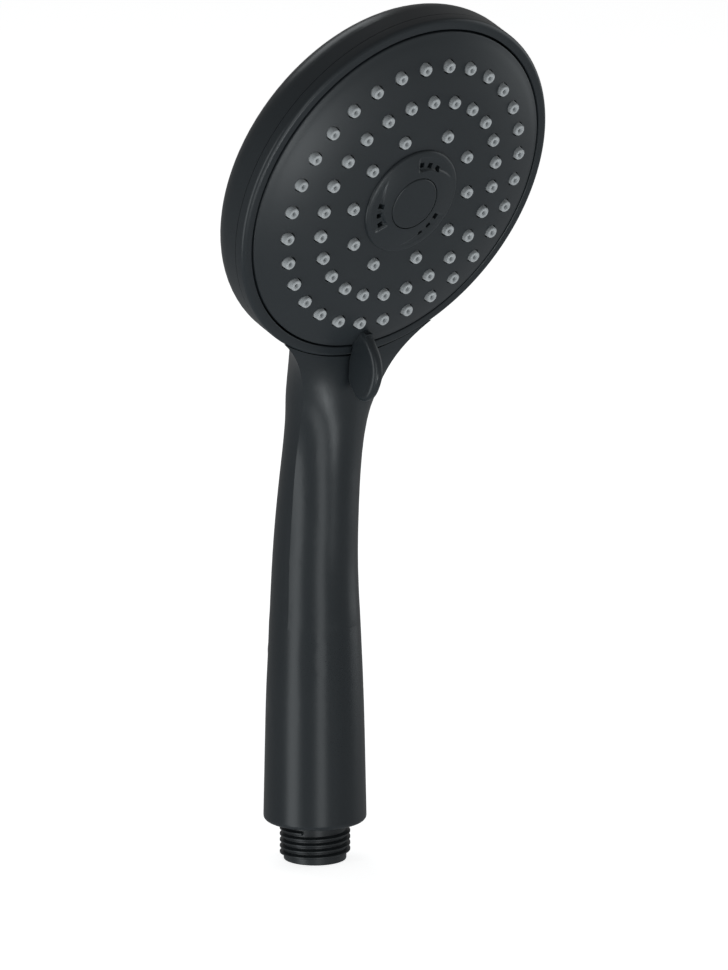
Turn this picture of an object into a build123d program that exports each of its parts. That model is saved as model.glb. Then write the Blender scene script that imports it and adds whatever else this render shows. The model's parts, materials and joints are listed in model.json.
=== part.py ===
from build123d import *
import os
from math import atan2, cos, hypot, pi, radians, sin, sqrt, tan

# Handheld shower head, millimetres. The origin is the centre of the grip's lower end face, +Z runs up
# the grip and the spray face looks towards -Y, tilted down.

os.makedirs("parts", exist_ok=True)

# Head: its own frame has the origin on the face's middle, Z out of the face and Y up the face
face_tilt = 20.6
face_middle_y = -42.97
face_middle_z = 191.77

# Face plate
face_radius = 51.2
face_flat_radius = 18.5
face_dome_radius = 90.0
face_wall = 1.8
face_skirt_back = -10.5
centre_opening = 15.0
nozzle_opening = 2.15
hole_low = -12.0
hole_high = 3.0

# Bezel ring
bezel_outer = 55.0
bezel_inner = 51.75
bezel_front = -6.4
bezel_back = -10.0
bezel_round = 1.3
bezel_clip_radius = 53.2
bezel_clip_back = -13.0

# Shell of the head
side_radius = 55.0
side_back = -14.6
rear_round = 8.0
back_depth = -28.0
shell_wall = 2.2
part_gap = 0.05
boss_back = -22.4
boss_outer = 3.2
pilot_back = -21.0
pilot_radius = 1.2
cut_over = 1.0

# Shell of the grip, which is round up to the neck: height and radius
grip_profile = [(0.0, 15.3), (20.0, 14.9), (40.0, 14.35), (60.0, 13.5)]
grip_low_slope = -0.017
grip_high_slope = -0.05
grip_crease = -3.0

# Stations of the neck: height, half width, place of the crease, front, back and fullness of the back
neck_stations = [
    (73.0, 12.48, -3.1, -12.9, 12.8, 1.0),
    (86.0, 12.1, -3.4, -13.0, 11.8, 1.0),
    (97.0, 12.0, -4.3, -13.5, 10.4, 1.0),
    (112.0, 12.35, -6.5, -14.4, 7.8, 1.0),
    (124.5, 13.2, -10.0, -15.7, 5.8, 1.0),
    (133.0, 15.1, -12.9, -16.4, 4.7, 0.95),
    (138.0, 17.2, -14.7, -16.9, 4.3, 0.8),
    (143.0, 20.5, -16.8, -17.6, 3.8, 0.6),
    (147.0, 24.4, -18.6, -18.9, 3.0, 0.4),
    (150.0, 28.3, -20.0, -20.2, 2.2, 0.25),
]

# The ridge that carries the neck up over the back of the head
ridge_stations = [
    neck_stations[-1],
    (158.0, 29.5, -18.5, -20.0, -0.8, 0.1),
    (168.0, 25.0, -17.0, -19.0, -6.2, 0.1),
    (178.0, 16.0, -17.0, -19.0, -12.4, 0.3),
]
end_round = 1.4

# Nozzles: ring radius, first angle, step between nozzles and their count
nozzle_rings = [
    (41.7, 60.0, 12.0, 30),
    (31.5, 60.0, 15.0, 24),
    (21.4, 112.0, 34.0, 5),
    (21.4, 292.0, 34.0, 5),
]
nozzle_proud = 1.2
nozzle_base_radius = 2.0
nozzle_tip_radius = 1.75
nozzle_bore = 0.5
mat_wall = 1.2
mat_radius = 49.2
mat_clearance = 0.2

# Massage insert and cap
insert_radius = 16.4
insert_rim_top = 0.7
insert_top = 2.0
insert_plate = 1.6
insert_body = 14.9
insert_skirt = 13.6
insert_back = -3.2
cap_radius = 8.0
cap_top = 2.15
cap_seat = 0.7
cap_stem = 3.1
slot_ring = 12.0
slot_side = 1.6
slot_step = 15.5
pocket_middle = 74.5
pocket_floor = 0.9
pocket_width = 4.2
pocket_before = 2.2
pocket_after = 1.4
rim_chamfer = 0.9
rim_wall = 0.3
cap_gap = 0.6
cap_round = 0.4
cap_stem_back = -0.8
stem_clearance = 0.1
under_step = 0.6

# Selector lever: outline in the middle plane, down the face and out of it
lever_thickness = 3.6
lever_ridge = [(44.2, -7.0), (46.0, -2.2), (49.2, 2.8), (53.6, 5.9), (59.2, 6.4), (63.8, 4.7), (65.4, 1.4),
               (64.3, -2.0), (61.6, -5.2)]
lever_back = [(51.8, -5.6), (55.8, -5.6), (70.0, -1.9)]
lever_root = -6.1
lever_cheek = 0.6
tenon_start = 45.6
tenon_end = 48.6
tenon_depth = 4.0
lever_round = 1.5

# Selector disc
disc_radius = 48.9
disc_back = -13.5
disc_plate_front = -11.6
disc_wall = 2.0
chamber_radius = 16.4
chamber_wall = 1.8
hub_radius = 5.7
hub_front = -4.7
disc_rim_lip = 0.2
wall_overlap = 0.5
notch_clearance = 0.1
screw_hole = 1.3
screw_head_seat = 2.3
screw_head_depth = 1.1
post_radius = 3.5
running_fit = 0.05

# Massage turbine: hub, rim, blades and the shutter that covers one group of slots
turbine_hub = 7.6
turbine_back = -11.0
turbine_front = -5.4
turbine_radius = 15.6
turbine_rim = 1.2
turbine_rim_depth = 1.6
blade_count = 6
blade_length = 7.6
blade_thickness = 1.1
blade_depth = 4.6
blade_turn = 20.0
shutter_outer = 15.4
shutter_inner = 7.2
shutter_sweep = 140.0
shutter_thickness = 1.0

# Seal in the distributor's rim, inside the face plate's skirt
chamber_ring_wire = 0.5
chamber_ring_radius = 48.9
chamber_ring_height = -10.2

# Ports, clicks and screws of the selector
click_angle = 35.0
port_ring = 17.3
port_bore = 2.0
port_low = -15.0
port_high = -10.0
both_length = 8.0
single_shift = 3.4
detent_ring = 28.0
detent_radius = 1.9
detent_travel = 0.5
screw_ring = 36.6
screw_count = 6
boss_radius = 2.3
boss_clearance = 0.1
screw_pilot = 0.9
screw_pilot_front = -7.0

# Diverter base
base_radius = 45.0
base_front = -14.0
base_back = -16.5
seal_radius = 5.6
seal_pocket_back = -21.0
seal_boss_radius = 7.6
duct_height = -18.2
duct_radius = 4.0
duct_bore = 2.7
base_screw_ring = 40.0
base_screw_angles = [30.0, 90.0, 150.0]

seal_floor = 1.6
seal_clearance = 0.1
seal_inner = 3.9
seal_back = -17.4
detent_boss = 3.4
detent_boss_back = -21.4
detent_bore_back = -20.4
detent_back = -17.2
duct_end = 55.0
duct_stop = 0.5
turn_clearance = 0.4
clip_clearance = 0.2

# Springs: radius, wire radius, back, front and turns
seal_spring = (4.6, 0.35, -20.9, -17.5, 2.5)
detent_spring = (1.3, 0.2, -20.3, -17.3, 4)

# Screws: the one in the post, the six of the face and the three of the base
centre_head = 2.9
centre_head_low = -3.85
centre_head_high = -2.0
centre_shank = 1.25
centre_screw_end = -12.0
centre_bore_back = -12.2
centre_slot_length = 4.4
centre_slot_depth = 1.6
screw_slot_width = 0.9
washer_radius = 5.4
washer_bore = 1.35
cross_width = 0.6
cross_depth = 1.0
cross_share = 1.3
face_screw_head = 2.15
screw_head_height = 0.95
face_screw_shank = 0.85
face_screw_end = -7.6
base_screw_head = 2.5
base_head_height = 1.2
base_screw_shank = 1.15
base_screw_end = -20.6
base_screw_hole = 1.3
base_head_seat = 2.6
base_seat_depth = 1.4

# Water tube
tube_low = (0.0, 0.0, 11.0)
tube_high = (0.0, -6.4, 146.0)
tube_radius = 6.0
tube_bore = 4.0
socket_radius = 6.3
socket_wall = 1.1
# Bevel on the socket's rear that clears the shell: position across and height
socket_bevel = [(0.4, 145.2), (-4.2, 152.3), (-4.2, 157.0), (6.0, 157.0), (6.0, 145.2)]
socket_low = 133.0
socket_cap = 6.0
groove_half = 0.85
seal_low = 3.5
seals_from_end = (7.0, 3.0)
ring_wire = 0.75
ring_seat = 4.8

# Inlet with the standard half inch hose thread
thread_radius = 10.48
thread_length = 12.0
inlet_bore = 8.2
inlet_floor = 3.0
connector_radius = 12.85
connector_shoulder = 10.0
connector_neck = 8.6
connector_top = 19.0
strainer_low = -7.0
strainer_height = 2.0
strainer_sheet = 0.6
strainer_rim = 1.1
strainer_hole = 1.3
strainer_pitch = 2.2
strainer_rows = 3
strainer_field = 6.2
regulator_low = -4.6
regulator_height = 5.4
regulator_cup = 6.4
regulator_plate = 2.0
regulator_pin = 2.2
regulator_hole = 1.1
regulator_hole_ring = 4.4
regulator_holes = 8

head_frame = Plane(
    origin=(0, face_middle_y, face_middle_z),
    x_dir=(1, 0, 0),
    z_dir=(0, -cos(radians(face_tilt)), -sin(radians(face_tilt))),
)


def save(part, name):
    """Write one piece to its own file."""
    part.label = name
    export_step(part, f"parts/{name}.step")


def on_head(part):
    """Carry a piece from the head's frame into the part's frame."""
    return head_frame.location * part


def revolved(outline):
    """Turn a closed outline in radius and height about the head's axis."""
    return revolve(Plane.XZ * make_face(outline), Axis.Z)


def ring(outer, inner, low, high):
    """Make a plain ring between two heights."""
    body = Pos(0, 0, low) * Cylinder(outer, high - low, align=(Align.CENTER, Align.CENTER, Align.MIN))
    hole = Pos(0, 0, low - 1) * Cylinder(inner, high - low + 2, align=(Align.CENTER, Align.CENTER, Align.MIN))
    return body - hole


def rod(radius, low, high):
    """Make a plain cylinder between two heights."""
    return Pos(0, 0, low) * Cylinder(radius, high - low, align=(Align.CENTER, Align.CENTER, Align.MIN))


def around(part, radius, angle):
    """Place a piece on a circle about the head's axis, turned to face outwards."""
    return Rot(0, 0, angle) * Pos(radius, 0, 0) * part


def dome_height(radius, inset=0.0):
    """Give the height of the face's surface, or of a sheet under it, at a radius."""
    if radius <= face_flat_radius:
        return -inset
    reach = radius - face_flat_radius
    return sqrt((face_dome_radius - inset) ** 2 - reach**2) - face_dome_radius


def dome_line(radius, inset=0.0):
    """Draw the face's profile from its flat middle out to a radius."""
    middle = (radius + face_flat_radius) / 2
    points = [(r, dome_height(r, inset)) for r in (face_flat_radius, middle, radius)]
    return ThreePointArc(*points)


def nozzle_places():
    """List every nozzle's ring radius and angle."""
    return [
        (radius, first + step * number)
        for radius, first, step, count in nozzle_rings
        for number in range(count)
    ]


def round_station(height, radius):
    """Describe a round cross section in the same way as a creased one."""
    return height, sqrt(radius**2 - grip_crease**2), grip_crease, -radius, radius, 1.0


def back_curves(half_width, crease, back, fullness):
    """Draw the back of a section: a round arc at fullness 1, flatter flanks below that."""
    rise = back - crease
    radius = (half_width**2 + rise**2) / (2 * rise)
    start = atan2(crease - back + radius, half_width)
    if fullness == 1:
        middle = back - radius
        shoulder = (start + pi / 2) / 2
        knee = (radius * cos(shoulder), middle + radius * sin(shoulder))
        right = ThreePointArc((half_width, crease), knee, (0, back))
        return right + ThreePointArc((0, back), (-knee[0], knee[1]), (-half_width, crease))
    reach = 4 / 3 * tan((pi / 2 - start) / 4) * radius * (0.4 + 0.6 * fullness)
    chord = hypot(half_width, rise)
    lean_x = -fullness * sin(start) - (1 - fullness) * half_width / chord
    lean_y = fullness * cos(start) + (1 - fullness) * rise / chord
    crease_pull = (half_width + reach * lean_x, crease + reach * lean_y)
    right = Bezier((half_width, crease), crease_pull, (reach, back), (0, back))
    left = Bezier((0, back), (-reach, back), (-crease_pull[0], crease_pull[1]), (-half_width, crease))
    return right + left


def grip_section(station, inset):
    """Draw one cross section: a front arc and a back curve that meet at the side creases."""
    height, half_width, crease, front, back, fullness = station
    side = crease + inset * (1 - (crease - front) / half_width)
    half_width = half_width - inset
    outline = ThreePointArc((-half_width, side), (0, front + inset), (half_width, side))
    outline = outline + back_curves(half_width, side, back - inset, fullness)
    return Pos(0, 0, height) * make_face(outline)


def grip_solid(inset=0.0):
    """Make the round grip and loft the neck with its ridge, or their inside when an inset is given."""
    points = [(radius - inset, height) for height, radius in grip_profile]
    low, high = points[0], points[-1]
    side = Spline(*points, tangents=[(grip_low_slope, 1), (grip_high_slope, 1)])
    grip = revolved(side + Polyline(high, (0, high[1]), (0, low[1]), low))
    start = grip_section(round_station(high[1], high[0]), 0)
    neck = loft([start] + [grip_section(station, inset) for station in neck_stations])
    ridge = loft([grip_section(station, inset) for station in ridge_stations])
    return grip + neck + ridge


def head_back_line(inset, front):
    """Draw the head's side and back from its front edge to the axis."""
    rounding = rear_round - inset
    centre_r = side_radius - rear_round
    depth = side_back - back_depth
    bowl = (centre_r**2 + depth**2 - rear_round**2) / (2 * (depth - rear_round))
    bowl_middle = back_depth + bowl
    lean = hypot(centre_r, bowl_middle - side_back)
    out = centre_r / lean
    back = (bowl_middle - side_back) / lean
    corner = (centre_r + rounding * out, side_back - rounding * back)
    half = hypot(1 + out, back)
    knee = (centre_r + rounding * (1 + out) / half, side_back - rounding * back / half)
    dish_r = corner[0] / 2
    dish_w = bowl_middle - sqrt((bowl - inset) ** 2 - dish_r**2)
    side = Line((side_radius - inset, front), (side_radius - inset, side_back))
    heel = ThreePointArc((side_radius - inset, side_back), knee, corner)
    dish = ThreePointArc(corner, (dish_r, dish_w), (0, back_depth + inset))
    return side + heel + dish


def head_solid(inset, front):
    """Revolve the head's body, or its inside when an inset is given."""
    closing = Line((0, back_depth + inset), (0, front)) + Line((0, front), (side_radius - inset, front))
    return revolved(head_back_line(inset, front) + closing)


def handle_shell():
    """Make the shell of grip, neck and head back, with the bosses for the base screws."""
    grip = grip_solid()
    grip = fillet(grip.faces().sort_by(Axis.Z)[0].edges(), end_round)
    rim = bezel_back - part_gap
    seat = rod(bezel_outer + part_gap, rim, rim + side_radius)
    outside = grip + on_head(head_solid(0.0, rim)) - on_head(seat)
    clip_room = rod(bezel_clip_radius + part_gap, bezel_clip_back - part_gap, rim + 1)
    hollow = on_head(head_solid(shell_wall, rim + 1) + clip_room)
    hollow = hollow + grip_solid(shell_wall)
    shell = outside - hollow
    boss = rod(boss_outer, boss_back, base_back)
    pilot = rod(pilot_radius, pilot_back, base_back + cut_over)
    bosses = [on_head(around(boss, base_screw_ring, angle)) for angle in base_screw_angles]
    pilots = [on_head(around(pilot, base_screw_ring, angle)) for angle in base_screw_angles]
    return Part() + shell + bosses - pilots


def front_bezel():
    """Make the ring round the face, with the clip that holds it in the shell."""
    outline = Polyline(
        (bezel_inner, bezel_front),
        (bezel_outer, bezel_front),
        (bezel_outer, bezel_back),
        (bezel_clip_radius, bezel_back),
        (bezel_clip_radius, bezel_clip_back),
        (bezel_inner, bezel_clip_back),
        close=True,
    )
    body = revolved(outline)
    outer_edge = body.faces().sort_by(Axis.Z)[-1].edges().sort_by(SortBy.RADIUS)[-1]
    return fillet(outer_edge, bezel_round)


def face_boss():
    """Make one screw boss behind the face plate."""
    front = dome_height(screw_ring + boss_radius) - face_wall / 2
    return rod(boss_radius, disc_plate_front + part_gap, front)


def screw_angles():
    """List the angles of the face screws."""
    return [30.0 + 360.0 / screw_count * number for number in range(screw_count)]


def face_plate():
    """Make the domed face with its skirt, nozzle holes, screw bosses and lever slot."""
    edge = dome_height(face_radius)
    inner_edge = face_radius - face_wall
    outline = (
        Line((centre_opening, 0), (face_flat_radius, 0))
        + dome_line(face_radius)
        + Line((face_radius, edge), (face_radius, face_skirt_back))
        + Line((face_radius, face_skirt_back), (inner_edge, face_skirt_back))
        + Line((inner_edge, face_skirt_back), (inner_edge, dome_height(inner_edge, face_wall)))
        + dome_line(inner_edge, face_wall)
        + Line((face_flat_radius, -face_wall), (centre_opening, -face_wall))
        + Line((centre_opening, -face_wall), (centre_opening, 0))
    )
    plate = revolved(outline)
    plate = plate + [around(face_boss(), screw_ring, angle) for angle in screw_angles()]
    hole = rod(nozzle_opening, hole_low, hole_high)
    pilot = rod(screw_pilot, disc_plate_front - cut_over, screw_pilot_front)
    holes = [around(hole, radius, angle) for radius, angle in nozzle_places()]
    pilots = [around(pilot, screw_ring, angle) for angle in screw_angles()]
    return plate - holes - pilots - lever_tenon(part_gap)


def nozzle(radius):
    """Make one rubber nozzle that stands through the face at a ring radius."""
    foot = dome_height(radius) - face_wall - mat_wall / 2
    height = dome_height(radius) + nozzle_proud - foot
    base = (Align.CENTER, Align.CENTER, Align.MIN)
    return Pos(0, 0, foot) * Cone(nozzle_base_radius, nozzle_tip_radius, height, align=base)


def nozzle_mat():
    """Make the rubber mat with every nozzle and its bore."""
    front = face_wall + part_gap
    back = front + mat_wall
    start = centre_opening + mat_clearance
    outline = (
        Line((start, -front), (face_flat_radius, -front))
        + dome_line(mat_radius, front)
        + Line((mat_radius, dome_height(mat_radius, front)), (mat_radius, dome_height(mat_radius, back)))
        + dome_line(mat_radius, back)
        + Line((face_flat_radius, -back), (start, -back))
        + Line((start, -back), (start, -front))
    )
    mat = revolved(outline)
    mat = mat + [around(nozzle(radius), radius, angle) for radius, angle in nozzle_places()]
    bore = rod(nozzle_bore, hole_low, hole_high)
    boss_hole = rod(boss_radius + boss_clearance, hole_low, 0)
    bores = [around(bore, radius, angle) for radius, angle in nozzle_places()]
    clear = [around(boss_hole, screw_ring, angle) for angle in screw_angles()]
    return mat - bores - clear


def lever_tenon(gap=0.0):
    """Make the lever's foot, which sits in a slot of the face plate."""
    length = tenon_end - tenon_start
    foot = Box(length + 2 * gap, lever_thickness - 2 * lever_cheek + 2 * gap, tenon_depth)
    middle = (tenon_end + tenon_start) / 2
    return Rot(0, 0, -90) * Pos(middle, 0, lever_root + tenon_depth / 2) * foot


def selector_lever():
    """Make the thin fin that hangs from the face plate over the neck."""
    outline = Spline(*lever_ridge) + Line(lever_ridge[-1], lever_ridge[0])
    fin = extrude(Plane.XZ * make_face(outline), lever_thickness / 2, both=True)
    fin = fillet(fin.edges().filter_by(GeomType.BSPLINE), lever_round)
    edge = face_radius + part_gap
    start = lever_ridge[0][0] - 2
    surface = [(r, dome_height(r) + part_gap) for r in (start, (start + edge) / 2, edge)]
    deep = lever_root * 2
    below = (
        Line((start, deep), surface[0])
        + ThreePointArc(*surface)
        + Polyline(surface[-1], *lever_back, (lever_back[-1][0], deep), (start, deep))
    )
    fin = fin - extrude(Plane.XZ * make_face(below), lever_thickness, both=True)
    return Rot(0, 0, -90) * fin + lever_tenon()


def insert_slots():
    """Cut tools for the nine square massage slots."""
    tools = []
    for group in range(3):
        for place in (-1, 0, 1):
            angle = pocket_middle + 120 * group + slot_step * place
            tools.append(around(Box(slot_side, slot_side, insert_radius), slot_ring, angle))
    return tools


def insert_pockets():
    """Cut tools for the three curved pockets that the slots open into."""
    tools = []
    for group in range(3):
        start = pocket_middle + 120 * group - pocket_before * slot_step
        end = pocket_middle + 120 * group + pocket_after * slot_step
        path = CenterArc((0, 0), slot_ring, start, end - start)
        floor = Pos(0, 0, pocket_floor) * extrude(trace(path, line_width=pocket_width), insert_top)
        tools.append(floor)
    return tools


def massage_insert():
    """Make the raised disc in the middle of the face, with its pockets and slots."""
    under = insert_rim_top - under_step - insert_plate
    stem_hole = cap_stem + stem_clearance
    outline = Polyline(
        (stem_hole, insert_top),
        (cap_radius + cap_gap, insert_top),
        (insert_radius - rim_chamfer, insert_rim_top),
        (insert_radius, rim_wall),
        (insert_radius, part_gap),
        (insert_body, part_gap),
        (insert_body, insert_back),
        (insert_skirt, insert_back),
        (insert_skirt, under),
        (stem_hole, under),
        close=True,
    )
    body = revolved(outline)
    seat = rod(cap_radius + part_gap, cap_seat, insert_top + cut_over)
    return body - seat - insert_pockets() - insert_slots()


def centre_cap():
    """Make the plain cap that hides the centre screw."""
    disc = rod(cap_radius, cap_seat + part_gap, cap_top)
    disc = fillet(disc.faces().sort_by(Axis.Z)[-1].edges(), cap_round)
    return disc + rod(cap_stem, cap_stem_back, cap_top - cap_round)


def port_holes():
    """Cut tools for the three port openings: both chambers, massage only and rain only."""
    middle = (port_low + port_high) / 2
    slot = Box(both_length, 2 * port_bore, port_high - port_low)
    both = Rot(0, 0, 270) * Pos(port_ring, 0, middle) * slot
    single = rod(port_bore, port_low, port_high)
    massage = around(single, port_ring - single_shift, 270 - click_angle)
    rain = around(single, port_ring + single_shift, 270 + click_angle)
    return [both, massage, rain]


def detent_notches():
    """Cut tools for the three notches that the detent's nose falls into."""
    depth = disc_back - detent_radius + detent_travel + notch_clearance
    ball = Pos(0, 0, depth) * Sphere(detent_radius + notch_clearance)
    return [around(ball, detent_ring, 90 + turn) for turn in (-click_angle, 0, click_angle)]


def selector_disc():
    """Make the turning water distributor with its two chambers, hub, notches and screw seats."""
    rim_front = chamber_ring_height + chamber_ring_wire + disc_rim_lip
    root = disc_plate_front - wall_overlap
    disc = rod(disc_radius, disc_back, disc_plate_front)
    disc = disc + ring(disc_radius, disc_radius - disc_wall, root, rim_front)
    disc = disc + ring(chamber_radius + chamber_wall, chamber_radius, root, insert_back)
    disc = disc + rod(hub_radius, root, hub_front)
    disc = disc - rod(post_radius + running_fit, disc_back - cut_over, hub_front + cut_over)
    groove = chamber_ring_wire + part_gap
    groove_low = chamber_ring_height - groove
    disc = disc - ring(disc_radius + cut_over, disc_radius - groove, groove_low, groove_low + 2 * groove)
    disc = disc - port_holes() - detent_notches()
    for angle in screw_angles():
        disc = disc - around(rod(screw_hole, port_low, port_high), screw_ring, angle)
        disc = disc - around(rod(screw_head_seat, port_low, disc_back + screw_head_depth), screw_ring, angle)
    return disc


def chamber_o_ring():
    """Make the seal between the distributor's rim and the mat."""
    return Pos(0, 0, chamber_ring_height) * Torus(chamber_ring_radius, chamber_ring_wire)


def massage_turbine():
    """Make the rotor of the pulsing spray, which spins on the distributor's hub."""
    rotor = ring(turbine_hub, hub_radius + running_fit, turbine_back, turbine_front)
    rim_front = turbine_back + turbine_rim_depth
    rotor = rotor + ring(turbine_radius, turbine_radius - turbine_rim, turbine_back, rim_front)
    blade = Box(blade_length, blade_thickness, blade_depth)
    middle = (turbine_radius + turbine_hub) / 2
    for number in range(blade_count):
        place = Rot(0, 0, 360 / blade_count * number) * Pos(middle, 0, turbine_back + blade_depth / 2)
        rotor = rotor + place * Rot(0, 0, blade_turn) * blade
    path = CenterArc((0, 0), (shutter_outer + shutter_inner) / 2, 0, shutter_sweep)
    shutter = extrude(trace(path, line_width=shutter_outer - shutter_inner), shutter_thickness)
    return rotor + Pos(0, 0, turbine_front - shutter_thickness) * shutter


def centre_screw():
    """Make the screw in the end of the fixed post."""
    head = rod(centre_head, centre_head_low, centre_head_high)
    slot = Pos(0, 0, centre_head_high) * Box(screw_slot_width, centre_slot_length, centre_slot_depth)
    return head - slot + rod(centre_shank, centre_screw_end, centre_head_low)


def screw_washer():
    """Make the washer that keeps the distributor on the post."""
    return ring(washer_radius, washer_bore, hub_front + 2 * part_gap, centre_head_low - part_gap)


def cross_screw(head_radius, head_low, head_high, shank_radius, shank_end):
    """Make a screw whose head looks along its own axis, with a crossed recess."""
    middle = (head_high + head_low) / 2
    face = head_high if shank_end < head_low else head_low
    bar = Box(cross_width, head_radius * cross_share, cross_depth)
    recess = Pos(0, 0, face) * (bar + Rot(0, 0, 90) * bar)
    low = min(shank_end, middle)
    high = max(shank_end, middle)
    return rod(head_radius, head_low, head_high) - recess + rod(shank_radius, low, high)


def face_screws():
    """Make the six screws that hold the face plate on the distributor."""
    low = disc_back + part_gap * 2
    screw = cross_screw(face_screw_head, low, low + screw_head_height, face_screw_shank, face_screw_end)
    return Compound(children=[around(screw, screw_ring, angle) for angle in screw_angles()])


def base_screws():
    """Make the three screws that hold the water seat in the shell."""
    high = base_front - part_gap * 2
    screw = cross_screw(base_screw_head, high - base_head_height, high, base_screw_shank, base_screw_end)
    return Compound(children=[around(screw, base_screw_ring, angle) for angle in base_screw_angles])


def tube_axis():
    """Give the frame at the tube's lower end, looking up along the tube."""
    direction = Vector(*tube_high) - Vector(*tube_low)
    return Plane(origin=tube_low, x_dir=(1, 0, 0), z_dir=direction), direction.length


def diverter_solid(duct_place, tube_frame, low, top):
    """Join the water seat, its post, bosses and duct, and the socket for the tube."""
    seal_back = seal_pocket_back - seal_floor
    base = rod(base_radius, base_back, base_front) + rod(post_radius, base_back, hub_front)
    base = base + around(rod(seal_boss_radius, seal_back, base_back + cut_over), port_ring, 270)
    base = base + around(rod(detent_boss, detent_boss_back, base_back + cut_over), detent_ring, 90)
    base = on_head(base + duct_place * rod(duct_radius, 0, duct_end - port_ring))
    return base + tube_frame.location * rod(socket_radius + socket_wall, low, top)


def turning_room():
    """Cut tool for the room in which the face turns, and for the bezel's clip."""
    room = rod(face_radius + turn_clearance, base_front, face_radius)
    room = room + rod(bezel_outer, bezel_clip_back - clip_clearance, face_radius)
    return room - rod(post_radius, base_front - cut_over, face_radius + cut_over)


def diverter_base():
    """Make the fixed water seat with its post, seal pocket, duct and tube socket."""
    frame, length = tube_axis()
    low = socket_low - tube_low[2]
    duct_place = Rot(0, 0, 270) * Pos(port_ring, 0, duct_height) * Rot(0, 90, 0)
    bevel = extrude(Plane.YZ * make_face(Polyline(*socket_bevel, close=True)), 2 * tube_radius, both=True)
    base = diverter_solid(duct_place, frame, low, length + socket_cap) - on_head(turning_room()) - bevel
    base = base - frame.location * rod(socket_radius, low - cut_over, length)
    base = base - on_head(duct_place * rod(duct_bore, 0, duct_end - port_ring - duct_stop))
    seal_bore = rod(seal_radius + seal_clearance, seal_pocket_back, base_front + cut_over)
    plunger_bore = rod(detent_radius + running_fit, detent_bore_back, base_front + cut_over)
    base = base - on_head(around(seal_bore, port_ring, 270) + around(plunger_bore, detent_ring, 90))
    base = base - on_head(rod(centre_shank, centre_bore_back, hub_front + cut_over))
    hole = rod(base_screw_hole, base_back - cut_over, base_front + cut_over)
    hole = hole + rod(base_head_seat, base_front - base_seat_depth, base_front + cut_over)
    return base - [on_head(around(hole, base_screw_ring, angle)) for angle in base_screw_angles]


def coil_spring(radius, wire, low, high, turns):
    """Make a helical spring that stands on the head's axis direction."""
    height = high - low - 2 * wire
    path = Helix(pitch=height / turns, height=height, radius=radius)
    section = Plane(origin=path @ 0, z_dir=path % 0) * Circle(wire)
    return Pos(0, 0, low + wire) * sweep(section, path=path)


def port_seal():
    """Make the rubber cup that presses on the distributor."""
    return ring(seal_radius, seal_inner, seal_back, disc_back - part_gap)


def detent_plunger():
    """Make the round nosed pin that clicks into the distributor's notches."""
    nose = disc_back - part_gap - detent_radius
    return rod(detent_radius, detent_back, nose) + Pos(0, 0, nose) * Sphere(detent_radius)


def water_tube():
    """Make the inner waterway with a seal groove at each end."""
    frame, length = tube_axis()
    tube = ring(tube_radius, tube_bore, 0, length)
    for height in seal_heights(length):
        tube = tube - ring(tube_radius + cut_over, ring_seat, height - groove_half, height + groove_half)
    return frame.location * tube


def seal_heights(length):
    """List the heights of the seals along the tube: one below and two above."""
    return [seal_low] + [length - back for back in seals_from_end]


def tube_seal(height):
    """Make one O ring in a groove of the tube."""
    frame, length = tube_axis()
    return frame.location * Pos(0, 0, height) * Torus(ring_seat + ring_wire, ring_wire)


def inlet_connector():
    """Make the threaded inlet, bonded in the grip's lower end."""
    frame, length = tube_axis()
    body = rod(thread_radius, -thread_length, cut_over) + rod(connector_radius, 0, connector_shoulder)
    body = body + rod(connector_neck, connector_shoulder, connector_top)
    body = body - rod(inlet_bore, -thread_length - cut_over, inlet_floor) - rod(tube_bore, 0, connector_top)
    return body - frame.location * rod(socket_radius, -cut_over, connector_top)


def inlet_strainer():
    """Make the dirt screen: a rim and a perforated disc."""
    outer = inlet_bore - part_gap
    screen = rod(outer, strainer_low, strainer_low + strainer_sheet)
    screen = screen + ring(outer, inlet_bore - strainer_rim, strainer_low, strainer_low + strainer_height)
    hole = Pos(0, 0, strainer_low) * Box(strainer_hole, strainer_hole, strainer_height)
    rows = range(-strainer_rows, strainer_rows + 1)
    places = [(column * strainer_pitch, row * strainer_pitch) for column in rows for row in rows]
    return screen - [Pos(x, y, 0) * hole for x, y in places if hypot(x, y) < strainer_field]


def flow_regulator():
    """Make the flow limiter: a cartridge with a ring of water holes and a centre pin."""
    top = regulator_low + regulator_height
    body = rod(inlet_bore - part_gap, regulator_low, top)
    body = body - rod(regulator_cup, regulator_low - cut_over, top - regulator_plate)
    body = body + rod(regulator_pin, regulator_low, top - regulator_plate / 2)
    hole = Pos(regulator_hole_ring, 0, 0) * rod(regulator_hole, regulator_low, top + cut_over)
    return body - [Rot(0, 0, 360 / regulator_holes * number) * hole for number in range(regulator_holes)]


def regulator_o_ring():
    """Make the seal between the limiter and the inlet's floor."""
    height = (regulator_low + regulator_height + inlet_floor) / 2
    wire = (inlet_floor - regulator_low - regulator_height) / 2 - part_gap
    return Pos(0, 0, height) * Torus(inlet_bore - wire - part_gap, wire)


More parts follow.
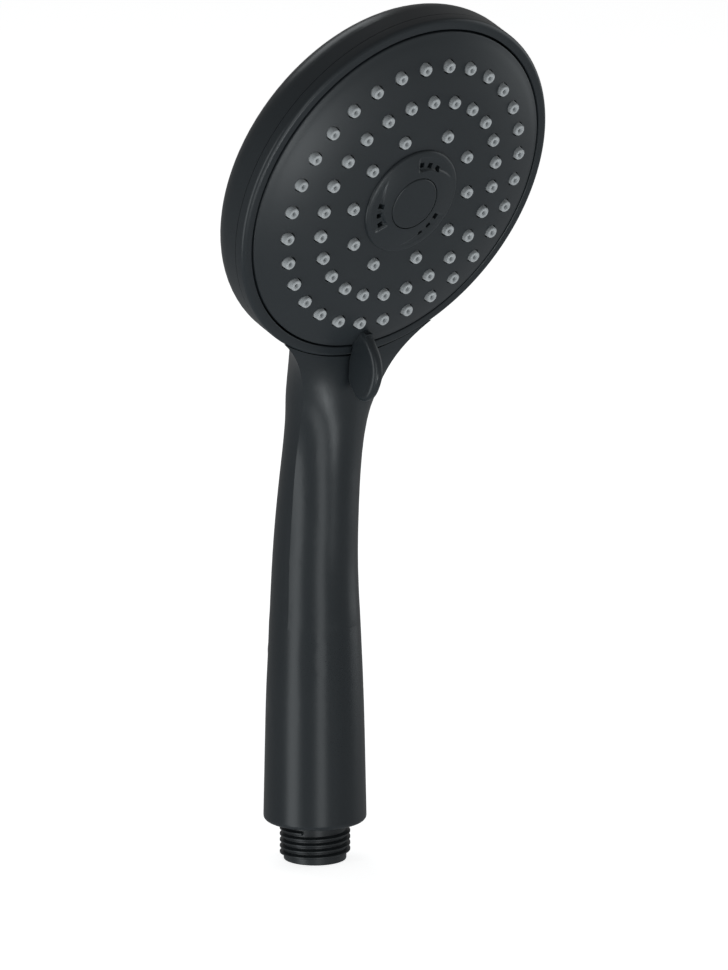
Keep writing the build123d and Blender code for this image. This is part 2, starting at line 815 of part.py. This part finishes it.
save(handle_shell(), "handle_shell")
save(on_head(front_bezel()), "front_bezel")
save(on_head(face_plate()), "face_plate")
save(on_head(nozzle_mat()), "nozzle_mat")
save(on_head(selector_lever()), "selector_lever")
save(on_head(massage_insert()), "massage_insert")
save(on_head(centre_cap()), "centre_cap")
save(on_head(selector_disc()), "selector_disc")
save(on_head(chamber_o_ring()), "chamber_o_ring")
save(on_head(massage_turbine()), "massage_turbine")
save(on_head(centre_screw()), "centre_screw")
save(on_head(screw_washer()), "screw_washer")
save(on_head(face_screws()), "face_screws")
save(diverter_base(), "diverter_base")
save(on_head(base_screws()), "base_screws")
save(on_head(around(port_seal(), port_ring, 270)), "port_seal")
save(on_head(around(coil_spring(*seal_spring), port_ring, 270)), "port_seal_spring")
save(on_head(around(detent_plunger(), detent_ring, 90)), "detent_plunger")
save(on_head(around(coil_spring(*detent_spring), detent_ring, 90)), "detent_spring")
save(water_tube(), "water_tube")
save(Compound(children=[tube_seal(height) for height in seal_heights(tube_axis()[1])[1:]]), "tube_o_rings")
save(tube_seal(seal_heights(tube_axis()[1])[0]), "connector_o_ring")
save(inlet_connector(), "inlet_connector")
save(inlet_strainer(), "inlet_strainer")
save(flow_regulator(), "flow_regulator")
save(regulator_o_ring(), "regulator_o_ring")
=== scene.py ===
import json
import math
import bpy
import bmesh
from mathutils import Matrix, Vector


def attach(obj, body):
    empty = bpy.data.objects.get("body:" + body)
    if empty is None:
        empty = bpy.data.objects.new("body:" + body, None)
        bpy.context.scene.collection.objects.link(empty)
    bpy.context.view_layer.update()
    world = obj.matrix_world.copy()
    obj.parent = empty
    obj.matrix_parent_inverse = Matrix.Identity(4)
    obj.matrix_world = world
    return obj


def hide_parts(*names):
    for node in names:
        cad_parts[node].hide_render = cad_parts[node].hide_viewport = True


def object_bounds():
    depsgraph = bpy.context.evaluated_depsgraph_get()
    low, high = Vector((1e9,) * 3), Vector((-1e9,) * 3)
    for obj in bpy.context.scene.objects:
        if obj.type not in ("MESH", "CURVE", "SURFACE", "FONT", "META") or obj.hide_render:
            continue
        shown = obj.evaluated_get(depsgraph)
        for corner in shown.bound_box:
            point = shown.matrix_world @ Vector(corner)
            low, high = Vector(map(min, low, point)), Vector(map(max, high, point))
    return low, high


# Handheld shower head. Sizes in the piece dictionaries are millimetres, the scene is in metres.

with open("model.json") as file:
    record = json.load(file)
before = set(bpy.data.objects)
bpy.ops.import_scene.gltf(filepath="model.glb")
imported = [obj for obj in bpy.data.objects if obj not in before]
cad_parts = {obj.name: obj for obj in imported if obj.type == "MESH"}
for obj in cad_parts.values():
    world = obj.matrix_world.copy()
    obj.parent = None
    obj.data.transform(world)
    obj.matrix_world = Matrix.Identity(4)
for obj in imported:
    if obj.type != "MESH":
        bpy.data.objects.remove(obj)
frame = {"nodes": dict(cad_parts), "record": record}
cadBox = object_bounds()
millimetre = 0.001
turn = next(joint for joint in frame["record"]["behaviour"]["joints"] if joint["name"] == "selector_turn")
print("frame loaded, nodes:", len(frame["nodes"]))

camera = {
    "place": (-1.46884, -1.75669, 0.60557),
    "target": (0.00807, -0.0129, 0.10204),
    "lens": 296.9,
    "sensor": 36.0,
    "reach": 50.0,
}
floor = {"half": 7.0, "colour": (0.93, 0.93, 0.93), "roughness": 0.9, "glow": 0.78}
room = {"seen": 1.0, "lit": 0.19}  # the white backdrop, and the dimmer light that it gives
lampTone = (0.93, 0.98, 1.0)
lamps = {  # place, target, width, height, watts, spread in degrees
    "stripLeft": ((-0.90, 0.02, -0.08), (0.0, 0.0, 0.10), 0.42, 1.30, 3.1, 180),
    "stripFront": ((-0.43, -0.89, -0.08), (0.0, 0.0, 0.10), 0.34, 1.20, 2.1, 180),
    "faceLow": ((0.04, -0.56, -0.09), (-0.03, -0.04, 0.23), 0.32, 0.32, 0.035, 20),
    "sideRight": ((0.90, -0.25, 0.30), (0.0, 0.0, 0.10), 0.60, 0.90, 1.3, 180),
    "topBack": ((0.2, 1.0, 1.2), (0.0, 0.0, 0.12), 0.9, 0.6, 2.4, 180),
}


def aim(thing, place, target):
    thing.location = place
    thing.rotation_euler = (Vector(target) - Vector(place)).to_track_quat("-Z", "Y").to_euler()


def makeCamera(look):
    data = bpy.data.cameras.new("camera")
    data.lens = look["lens"]
    data.sensor_width = look["sensor"]
    data.clip_end = look["reach"]
    eye = bpy.data.objects.new("camera", data)
    bpy.context.collection.objects.link(eye)
    aim(eye, look["place"], look["target"])
    bpy.context.scene.camera = eye


def makeFloor(look):
    mesh = bpy.data.meshes.new("floor")
    work = bmesh.new()
    bmesh.ops.create_grid(work, x_segments=1, y_segments=1, size=look["half"])
    bmesh.ops.translate(work, verts=work.verts, vec=(0, 0, cadBox[0].z))
    work.to_mesh(mesh)
    work.free()
    ground = bpy.data.objects.new("floor", mesh)
    bpy.context.collection.objects.link(ground)
    paint = bpy.data.materials.new("floorPaint")
    paint.use_nodes = True
    shader = paint.node_tree.nodes["Principled BSDF"]
    shader.inputs["Base Color"].default_value = (*look["colour"], 1)
    shader.inputs["Roughness"].default_value = look["roughness"]
    shader.inputs["Emission Color"].default_value = (1, 1, 1, 1)
    shader.inputs["Emission Strength"].default_value = look["glow"]
    mesh.materials.append(paint)
    ground.visible_glossy = False  # the plastic mirrors the lamps and the room, not the floor
    ground.visible_shadow = False  # so that the strips may reach below it


def makeLamps(looks):
    for name, (place, target, width, height, watts, spread) in looks.items():
        data = bpy.data.lights.new(name, "AREA")
        data.shape = "RECTANGLE"
        data.size = width
        data.size_y = height
        data.energy = watts
        data.spread = math.radians(spread)
        data.color = lampTone
        lamp = bpy.data.objects.new(name, data)
        lamp.visible_camera = False
        bpy.context.collection.objects.link(lamp)
        aim(lamp, place, target)


def makeRoom(look):
    world = bpy.data.worlds.new("room")
    world.use_nodes = True
    nodes = world.node_tree.nodes
    air = nodes["Background"]
    path = nodes.new("ShaderNodeLightPath")
    share = nodes.new("ShaderNodeMapRange")
    share.inputs["To Min"].default_value = look["lit"]
    share.inputs["To Max"].default_value = look["seen"]
    world.node_tree.links.new(path.outputs["Is Camera Ray"], share.inputs["Value"])
    world.node_tree.links.new(share.outputs["Result"], air.inputs["Strength"])
    air.inputs["Color"].default_value = (1, 1, 1, 1)
    bpy.context.scene.world = world
    bpy.context.scene.view_settings.view_transform = "Standard"


makeCamera(camera)
makeFloor(floor)
makeLamps(lamps)
makeRoom(room)
print("stage, light and camera ready")


# finishes: every material is built from nodes
class Value:  # a shader socket that can stand in a sum
    def __init__(self, finish, socket):
        self.finish = finish
        self.socket = socket

    def maths(self, operation, first, second):
        return self.finish.node("ShaderNodeMath", {"operation": operation}, {0: first, 1: second})

    def __add__(self, other):
        return self.maths("ADD", self, other)

    def __sub__(self, other):
        return self.maths("SUBTRACT", self, other)

    def __rsub__(self, other):
        return self.maths("SUBTRACT", other, self)

    def __mul__(self, other):
        return self.maths("MULTIPLY", self, other)

    __radd__ = __add__
    __rmul__ = __mul__


class Finish:  # one material and the nodes that make it
    def __init__(self, name, fixed):
        self.material = bpy.data.materials.new(name)
        self.material.use_nodes = True
        self.tree = self.material.node_tree
        self.shader = self.tree.nodes["Principled BSDF"]
        for socket, value in fixed.items():
            self.shader.inputs[socket].default_value = value

    def node(self, kind, settings, inputs, output=0):
        new = self.tree.nodes.new(kind)
        for key, value in settings.items():
            if key == "stops":
                for stop, (place, colour) in zip(new.color_ramp.elements, value):
                    stop.position = place
                    stop.color = (*colour, 1)
            else:
                setattr(new, key, value)
        for key, value in inputs.items():
            if isinstance(value, Value):
                self.tree.links.new(value.socket, new.inputs[key])
            else:
                new.inputs[key].default_value = value
        return Value(self, new.outputs[output])

    def place(self):
        return self.node("ShaderNodeTexCoord", {}, {}, "Object")

    def noise(self, place, grain, detail=2.0):
        return self.node(
            "ShaderNodeTexNoise", {}, {"Vector": place, "Scale": 1.0 / (grain * millimetre), "Detail": detail}
        )

    def blend(self, amount, dark, light):
        return self.node("ShaderNodeValToRGB", {"stops": ((0.0, dark), (1.0, light))}, {0: amount})

    def feed(self, **links):
        for key, value in links.items():
            self.tree.links.new(value.socket, self.shader.inputs[key.replace("_", " ")])

    def bump(self, height, depth):
        relief = self.node(
            "ShaderNodeBump", {}, {"Strength": 1.0, "Distance": depth * millimetre, "Height": height}
        )
        self.feed(Normal=relief)


mouldedPlastics = {  # dark and light tone, roughness, its spread, spark grain and its depth in mm
    "shellPlastic": ((0.012, 0.016, 0.019), (0.017, 0.021, 0.024), 0.30, 0.06, 0.30, 0.0020),
    "facePlastic": ((0.013, 0.017, 0.020), (0.018, 0.022, 0.025), 0.36, 0.06, 0.26, 0.0030),
    "insertPlastic": ((0.013, 0.017, 0.020), (0.018, 0.022, 0.025), 0.32, 0.06, 0.22, 0.0025),
    "inletPlastic": ((0.012, 0.015, 0.017), (0.017, 0.020, 0.022), 0.34, 0.06, 0.30, 0.0020),
    "greyPlastic": ((0.24, 0.25, 0.26), (0.29, 0.30, 0.31), 0.45, 0.10, 0.40, 0.006),
    "acetal": ((0.74, 0.74, 0.71), (0.80, 0.80, 0.77), 0.34, 0.08, 0.50, 0.003),
}
flowMarks = {"size": 38.0, "detail": 3.0}  # the slow clouding of a moulded surface
plasticMix = {"IOR": 1.49, "flow": 0.7, "spark": 0.3, "sparkRoughness": 0.10}


def makePlastic(name, dark, light, roughness, spread, grain, depth):
    finish = Finish(name, {"IOR": plasticMix["IOR"]})
    place = finish.place()
    flow = finish.noise(place, flowMarks["size"], flowMarks["detail"])
    spark = finish.noise(place, grain)
    shade = flow * plasticMix["flow"] + spark * plasticMix["spark"]
    finish.feed(Base_Color=finish.blend(shade, dark, light))
    finish.feed(Roughness=roughness + spread * (flow - 0.5) + plasticMix["sparkRoughness"] * (spark - 0.5))
    finish.bump(spark, depth)
    return finish.material


rubbers = {  # dark and light tone, roughness, grain and its depth in mm, sheen
    "nozzleSilicone": ((0.25, 0.27, 0.28), (0.33, 0.35, 0.36), 0.62, 0.35, 0.010, 0.15),
    "blackRubber": ((0.016, 0.016, 0.016), (0.026, 0.026, 0.026), 0.66, 0.30, 0.008, 0.10),
}
rubberMix = {"IOR": 1.42, "cloudGrains": 24, "cloud": 0.6, "speck": 0.4, "speckRoughness": 0.12}


def makeRubber(name, dark, light, roughness, grain, depth, sheen):
    finish = Finish(name, {"IOR": rubberMix["IOR"], "Sheen Weight": sheen})
    place = finish.place()
    cloud = finish.noise(place, grain * rubberMix["cloudGrains"])
    speck = finish.noise(place, grain)
    shade = cloud * rubberMix["cloud"] + speck * rubberMix["speck"]
    finish.feed(Base_Color=finish.blend(shade, dark, light))
    finish.feed(Roughness=roughness + rubberMix["speckRoughness"] * (speck - 0.5))
    finish.bump(speck, depth)
    return finish.material


metals = {  # dull and bright tone, roughness, spacing and depth in mm of the turning marks
    "stainlessSteel": ((0.48, 0.48, 0.48), (0.63, 0.63, 0.62), 0.28, 0.14, 0.003),
}
metalMix = {"stretch": (0.03, 0.03, 1.0), "tarnishSpacings": 40, "tarnish": 0.7, "marks": 0.3,
            "tarnishRoughness": 0.14, "marksRoughness": 0.08}


def makeMetal(name, dull, bright, roughness, spacing, depth):
    finish = Finish(name, {"Metallic": 1.0})
    place = finish.place()
    squeezed = finish.node("ShaderNodeMapping", {}, {"Vector": place, "Scale": metalMix["stretch"]})
    marks = finish.noise(squeezed, spacing)
    tarnish = finish.noise(place, spacing * metalMix["tarnishSpacings"])
    shade = tarnish * metalMix["tarnish"] + marks * metalMix["marks"]
    finish.feed(Base_Color=finish.blend(shade, dull, bright))
    worn = metalMix["tarnishRoughness"] * (tarnish - 0.5) + metalMix["marksRoughness"] * (marks - 0.5)
    finish.feed(Roughness=roughness + worn)
    finish.bump(marks, depth)
    return finish.material


finishes = {name: makePlastic(name, *look) for name, look in mouldedPlastics.items()}
finishes.update({name: makeRubber(name, *look) for name, look in rubbers.items()})
finishes.update({name: makeMetal(name, *look) for name, look in metals.items()})
print("finishes ready:", len(finishes))

carriedOver = {  # the finish of every CAD node
    "handle_shell": "shellPlastic",
    "front_bezel": "shellPlastic",
    "face_plate": "facePlastic",
    "selector_lever": "shellPlastic",
    "massage_insert": "insertPlastic",
    "centre_cap": "insertPlastic",
    "nozzle_mat": "nozzleSilicone",
    "selector_disc": "greyPlastic",
    "diverter_base": "greyPlastic",
    "massage_turbine": "acetal",
    "water_tube": "acetal",
    "inlet_strainer": "acetal",
    "flow_regulator": "acetal",
    "detent_plunger": "acetal",
    "chamber_o_ring": "blackRubber",
    "port_seal": "blackRubber",
    "tube_o_rings": "blackRubber",
    "connector_o_ring": "blackRubber",
    "regulator_o_ring": "blackRubber",
    "centre_screw": "stainlessSteel",
    "screw_washer": "stainlessSteel",
    "face_screws": "stainlessSteel",
    "base_screws": "stainlessSteel",
    "port_seal_spring": "stainlessSteel",
    "detent_spring": "stainlessSteel",
    "inlet_connector": "inletPlastic",
}
for nodeName, finishName in carriedOver.items():
    for slot in frame["nodes"][nodeName].material_slots:
        slot.material = finishes[finishName]
print("CAD nodes finished:", len(carriedOver))


def headPlace():
    outward = Vector(turn["axis"]).normalized()
    upward = outward.cross(Vector((1, 0, 0)))
    place = Matrix((Vector((1, 0, 0)), upward, outward)).transposed().to_4x4()
    place.translation = Vector(turn["pos_m"])
    return place @ Matrix.Scale(millimetre, 4)


gripPlace = Matrix.Scale(millimetre, 4)
close = {"weld": 0.001, "ring": 0.02, "level": 0.01}  # how near a corner counts as being in a place, mm


def turned(work, outline, steps, cuts=None):
    # spins a closed outline of radius and height about Z, with some of its sides cut finer first
    corners = [work.verts.new((radius, 0, height)) for radius, height in outline]
    sides = [work.edges.new((corners[i], corners[(i + 1) % len(corners)])) for i in range(len(corners))]
    for number, count in (cuts or {}).items():
        bmesh.ops.subdivide_edges(work, edges=[sides[number]], cuts=count)
    bmesh.ops.spin(
        work, geom=work.verts[:] + work.edges[:], cent=(0, 0, 0), axis=(0, 0, 1),
        dvec=(0, 0, 0), angle=2 * math.pi, steps=steps, use_merge=True, use_duplicate=False,
    )
    bmesh.ops.remove_doubles(work, verts=work.verts, dist=close["weld"])
    bmesh.ops.recalc_face_normals(work, faces=work.faces)


def softened(work, chosen, size, segments=3):
    edges = [edge for edge in work.edges if chosen(edge)]
    bmesh.ops.bevel(
        work, geom=edges, offset=size, offset_type="OFFSET", segments=segments,
        profile=0.5, affect="EDGES", clamp_overlap=True, material=-1,
    )


def atRing(radius, height):
    # picks the edges of one corner ring
    def chosen(edge):
        return all(
            abs(math.hypot(corner.co.x, corner.co.y) - radius) < close["ring"]
            and abs(corner.co.z - height) < close["ring"]
            for corner in edge.verts
        )
    return chosen


def toObject(work, name, place, finish, sharp):
    bmesh.ops.transform(work, matrix=place, verts=work.verts)
    mesh = bpy.data.meshes.new(name)
    work.to_mesh(mesh)
    work.free()
    mesh.materials.append(finishes[finish])
    mesh.shade_smooth()
    mesh.set_sharp_from_angle(angle=math.radians(sharp))
    piece = bpy.data.objects.new(name, mesh)
    bpy.context.collection.objects.link(piece)
    return piece


def cutAway(piece, cutter, sharp):
    # takes the cutter out of the piece and throws the cutter away
    tool = piece.modifiers.new("cut", "BOOLEAN")
    tool.operation = "DIFFERENCE"
    tool.solver = "EXACT"
    tool.object = cutter
    result = piece.evaluated_get(bpy.context.evaluated_depsgraph_get())
    done = bpy.data.meshes.new_from_object(result)
    done.set_sharp_from_angle(angle=math.radians(sharp))
    piece.modifiers.clear()
    piece.data = done
    bpy.data.objects.remove(cutter)


def settle(piece, body, node):
    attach(piece, body)
    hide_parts(node)
    print("made", piece.name, "faces:", len(piece.data.polygons))


def eased(value, low, high):
    share = min(max((value - low) / (high - low), 0.0), 1.0)
    return share * share * (3 - 2 * share)


bezel = {"inner": 51.75, "outer": 55.0, "front": -6.4, "back": -10.0, "clip": 53.2, "clipBack": -13.0,
         "outerRound": 1.3, "outerSegments": 6, "innerRound": 0.35, "backRound": 0.12, "steps": 192,
         "sharp": 35}


def makeBezel(size):
    work = bmesh.new()
    turned(work, [
        (size["inner"], size["front"]), (size["outer"], size["front"]), (size["outer"], size["back"]),
        (size["clip"], size["back"]), (size["clip"], size["clipBack"]), (size["inner"], size["clipBack"]),
    ], size["steps"])
    softened(work, atRing(size["outer"], size["front"]), size["outerRound"], size["outerSegments"])
    softened(work, atRing(size["inner"], size["front"]), size["innerRound"])
    softened(work, atRing(size["outer"], size["back"]), size["backRound"], 1)
    ringPiece = toObject(work, "bezelRing", headPlace(), "shellPlastic", size["sharp"])
    settle(ringPiece, "handset", "front_bezel")


face = {"radius": 51.2, "flat": 18.5, "dome": 90.0, "wall": 1.8, "skirt": -10.5, "opening": 15.0,
        "edgeRound": 0.5, "edgeSegments": 4, "holeRadius": 2.15, "holeSides": 28, "holeDepth": 6.0,
        "holeShift": 1, "steps": 180, "rings": 16, "middleRings": 3, "sharp": 40}
nozzle = {"base": 2.0, "tip": 1.62, "proud": 1.2, "mouth": 0.85, "mouthDepth": 0.5, "bore": 0.45,
          "boreDepth": 2.6, "round": 0.28, "mouthRound": 0.12, "mouthSegments": 2, "foot": -2.4, "sides": 24}
nozzleRings = [  # radius, first angle, step between nozzles, count
    (41.7, 60.0, 12.0, 30),
    (31.5, 60.0, 15.0, 24),
    (21.4, 112.0, 34.0, 5),
    (21.4, 292.0, 34.0, 5),
]


def domeHeight(radius, inset=0.0):
    reach = max(radius - face["flat"], 0.0)
    return math.sqrt((face["dome"] - inset) ** 2 - reach**2) - face["dome"]


def nozzlePlaces():
    return [
        (radius, first + step * number)
        for radius, first, step, count in nozzleRings
        for number in range(count)
    ]


def aroundHead(radius, angle, height):
    return Matrix.Rotation(math.radians(angle), 4, "Z") @ Matrix.Translation((radius, 0, height))


def makeFacePlate(size):
    work = bmesh.new()
    inner = size["radius"] - size["wall"]
    outline = [
        (size["opening"], 0.0), (size["flat"], 0.0), (size["radius"], 0.0), (size["radius"], size["skirt"]),
        (inner, size["skirt"]), (inner, -size["wall"]), (size["flat"], -size["wall"]),
        (size["opening"], -size["wall"]),
    ]
    turned(work, outline, size["steps"], {0: size["middleRings"], 1: size["rings"], 5: size["rings"]})
    for corner in work.verts:
        radius = math.hypot(corner.co.x, corner.co.y)
        if corner.co.z > -close["level"]:
            corner.co.z = domeHeight(radius)
        elif corner.co.z > -size["wall"] - close["level"]:
            corner.co.z = domeHeight(radius, size["wall"])
    edge = atRing(size["radius"], domeHeight(size["radius"]))
    softened(work, edge, size["edgeRound"], size["edgeSegments"])
    plate = toObject(work, "sprayFace", headPlace(), "facePlastic", size["sharp"])
    holes = bmesh.new()
    for radius, angle in nozzlePlaces():
        made = bmesh.ops.create_cone(
            holes, cap_ends=True, segments=size["holeSides"], radius1=size["holeRadius"],
            radius2=size["holeRadius"], depth=size["holeDepth"],
        )
        where = aroundHead(radius, angle, domeHeight(radius) - size["holeShift"])
        bmesh.ops.transform(holes, matrix=where, verts=made["verts"])
    cutter = toObject(holes, "holeCutter", headPlace(), "facePlastic", size["sharp"])
    cutAway(plate, cutter, size["sharp"])
    settle(plate, "selector", "face_plate")


mat = {"radius": 49.2, "wall": 1.2, "gap": 0.05, "opening": 15.2, "steps": 96, "rings": 12, "sharp": 40}


def makeNozzleMat(size, spout):
    work = bmesh.new()
    front = face["wall"] + size["gap"]
    back = front + size["wall"]
    outline = [
        (size["opening"], -front), (face["flat"], -front), (size["radius"], -front),
        (size["radius"], -back), (face["flat"], -back), (size["opening"], -back),
    ]
    turned(work, outline, size["steps"], {1: size["rings"], 3: size["rings"]})
    for corner in work.verts:
        inset = front if corner.co.z > -(front + back) / 2 else back
        corner.co.z = domeHeight(math.hypot(corner.co.x, corner.co.y), inset)
    one = bmesh.new()
    turned(one, [
        (spout["bore"], spout["proud"] - spout["mouthDepth"]), (spout["mouth"], spout["proud"]),
        (spout["tip"], spout["proud"]), (spout["base"], spout["foot"]),
        (0.0, spout["foot"]), (0.0, spout["proud"] - spout["boreDepth"]),
        (spout["bore"], spout["proud"] - spout["boreDepth"]),
    ], spout["sides"])
    softened(one, atRing(spout["tip"], spout["proud"]), spout["round"])
    softened(one, atRing(spout["mouth"], spout["proud"]), spout["mouthRound"], spout["mouthSegments"])
    single = bpy.data.meshes.new("nozzle")
    one.to_mesh(single)
    one.free()
    for radius, angle in nozzlePlaces():
        before = set(work.verts)
        work.from_mesh(single)
        fresh = [corner for corner in work.verts if corner not in before]
        bmesh.ops.transform(work, matrix=aroundHead(radius, angle, domeHeight(radius)), verts=fresh)
    bpy.data.meshes.remove(single)
    rubberMat = toObject(work, "nozzleMat", headPlace(), "nozzleSilicone", size["sharp"])
    settle(rubberMat, "selector", "nozzle_mat")


insert = {"radius": 16.4, "rimTop": 0.7, "rimRound": 0.6, "top": 2.0, "topRadius": 8.6, "slopeCurl": 1.35,
          "seat": 0.7, "seatRadius": 8.22, "stem": 3.2, "under": -1.3, "skirt": 13.6, "body": 14.9,
          "lip": 0.05, "back": -3.2, "steps": 360, "cuts": 44, "sharp": 50, "cutSharp": 45}
# each pocket starts deep at its round end and runs out to nothing, the slot's length is in sides
pocket = {"count": 3, "spacing": 120, "middle": 74.5, "end": 23.0, "sweep": 87.0, "innerEnd": 10.3,
          "innerStart": 15.6, "curl": 1.6, "outer": 14.6, "floor": 0.92, "wall": 0.45, "endWall": 1.1,
          "deepFrom": 0.25}
massageSlot = {"ring": 12.0, "side": 1.6, "length": 4.0, "step": 15.5, "depth": -2.6, "sharp": 30}


def insertHeight(radius, angle):
    size = insert
    slope = (size["top"] - size["rimTop"]) / (size["radius"] - size["topRadius"])
    share = min(max((radius - size["topRadius"]) / (size["radius"] - size["topRadius"]), 0.0), 1.0)
    level = size["top"] - slope * (size["radius"] - size["topRadius"]) * share ** size["slopeCurl"]
    edge = max(radius - (size["radius"] - size["rimRound"]), 0.0)
    level -= size["rimRound"] - math.sqrt(max(size["rimRound"] ** 2 - edge**2, 0.0))
    behind = (pocket["middle"] + pocket["end"] - angle) % pocket["spacing"]  # degrees back from the round end
    along = behind / pocket["sweep"]
    if along > 1.0:
        return level
    inner = pocket["innerEnd"] + (pocket["innerStart"] - pocket["innerEnd"]) * along ** pocket["curl"]
    wall = pocket["wall"]
    inside = eased(radius, inner - wall / 2, inner + wall / 2)
    inside *= 1.0 - eased(radius, pocket["outer"] - wall, pocket["outer"] + wall)
    arc = math.radians(behind) * radius
    inside *= eased(arc, 0.0, pocket["endWall"])
    deep = 1.0 - eased(along, pocket["deepFrom"], 1.0)
    return level - inside * deep * max(level - pocket["floor"], 0.0)


def makeInsert(size):
    work = bmesh.new()
    outline = [
        (size["stem"], size["seat"]), (size["seatRadius"], size["seat"]), (size["seatRadius"], size["top"]),
        (size["radius"], size["top"]), (size["radius"], size["lip"]), (size["body"], size["lip"]),
        (size["body"], size["back"]), (size["skirt"], size["back"]), (size["skirt"], size["under"]),
        (size["stem"], size["under"]),
    ]
    turned(work, outline, size["steps"], {2: size["cuts"]})
    for corner in work.verts:
        radius = math.hypot(corner.co.x, corner.co.y)
        if corner.co.z > size["top"] - close["level"]:
            angle = math.degrees(math.atan2(corner.co.y, corner.co.x))
            corner.co.z = insertHeight(radius, angle)
    disc = toObject(work, "massageInsert", headPlace(), "insertPlastic", size["sharp"])
    slots = bmesh.new()
    slotHeight = massageSlot["depth"] + massageSlot["side"] * massageSlot["length"] / 2
    longer = Matrix.Scale(massageSlot["length"], 4, (0, 0, 1))
    for group in range(pocket["count"]):
        for place in (-1, 0, 1):
            made = bmesh.ops.create_cube(slots, size=massageSlot["side"])
            angle = pocket["middle"] + pocket["spacing"] * group + massageSlot["step"] * place
            where = aroundHead(massageSlot["ring"], angle, slotHeight) @ longer
            bmesh.ops.transform(slots, matrix=where, verts=made["verts"])
    cutter = toObject(slots, "slotCutter", headPlace(), "insertPlastic", massageSlot["sharp"])
    cutAway(disc, cutter, size["cutSharp"])
    settle(disc, "selector", "massage_insert")


cap = {"radius": 8.0, "top": 2.15, "seat": 0.75, "round": 0.4, "roundSegments": 4, "stem": 3.1,
       "stemEnd": -0.8, "steps": 96, "rings": 6, "sharp": 40}


def makeCap(size):
    work = bmesh.new()
    turned(work, [
        (0.0, size["top"]), (size["radius"], size["top"]), (size["radius"], size["seat"]),
        (size["stem"], size["seat"]), (size["stem"], size["stemEnd"]), (0.0, size["stemEnd"]),
    ], size["steps"], {0: size["rings"]})
    softened(work, atRing(size["radius"], size["top"]), size["round"], size["roundSegments"])
    button = toObject(work, "centreCap", headPlace(), "insertPlastic", size["sharp"])
    settle(button, "selector", "centre_cap")


makeBezel(bezel)
makeFacePlate(face)
makeNozzleMat(mat, nozzle)
makeInsert(insert)
makeCap(cap)


inlet = {"crest": 10.46, "root": 9.3, "sunk": 0.3, "length": 12.0, "pitch": 1.814, "crestWidth": 0.36,
         "rootWidth": 1.6, "bore": 8.2, "floor": 3.0, "wayIn": 4.0, "socket": 6.3, "socketEnd": 14.0,
         "socketRoom": 3.0, "flange": 12.85, "shoulder": 10.0, "neck": 8.6, "top": 19.0, "chamfer": 0.6,
         "relief": 1.5, "endRound": 0.3, "endSegments": 2, "steps": 96, "turnSteps": 72, "sharp": 30}


def makeInlet(size):
    work = bmesh.new()
    socketFloor = size["socketEnd"] - size["socketRoom"]
    turned(work, [
        (size["root"], 0.0), (size["flange"], 0.0), (size["flange"], size["shoulder"]),
        (size["neck"], size["shoulder"]), (size["neck"], size["top"]), (size["socket"], size["top"]),
        (size["socket"], socketFloor), (size["wayIn"], socketFloor),
        (size["wayIn"], size["floor"]), (size["bore"], size["floor"]), (size["bore"], -size["length"]),
        (size["root"], -size["length"]),
    ], size["steps"])
    for radius in (size["bore"], size["root"]):
        softened(work, atRing(radius, -size["length"]), size["endRound"], size["endSegments"])
    tooth = bmesh.new()
    low = -size["length"] + size["chamfer"] + size["rootWidth"] / 2
    half = size["rootWidth"] / 2
    tip = size["crestWidth"] / 2
    base = size["root"] - size["sunk"]  # the tooth's foot sinks into the wall
    section = [(base, -half), (size["crest"], -tip), (size["crest"], tip), (base, half)]
    start = tooth.faces.new([tooth.verts.new((radius, 0, low + height)) for radius, height in section])
    turns = (size["length"] - size["chamfer"] - size["relief"] - size["rootWidth"]) / size["pitch"]
    steps = int(turns * size["turnSteps"])
    bmesh.ops.spin(
        tooth, geom=[start], cent=(0, 0, 0), axis=(0, 0, 1),
        dvec=(0, 0, turns * size["pitch"] / steps), angle=turns * 2 * math.pi, steps=steps,
        use_merge=False, use_duplicate=False,
    )
    bmesh.ops.recalc_face_normals(tooth, faces=tooth.faces)
    helix = bpy.data.meshes.new("tooth")
    tooth.to_mesh(helix)
    tooth.free()
    work.from_mesh(helix)
    bpy.data.meshes.remove(helix)
    threaded = toObject(work, "threadedInlet", gripPlace, "inletPlastic", size["sharp"])
    settle(threaded, "handset", "inlet_connector")


makeInlet(inlet)
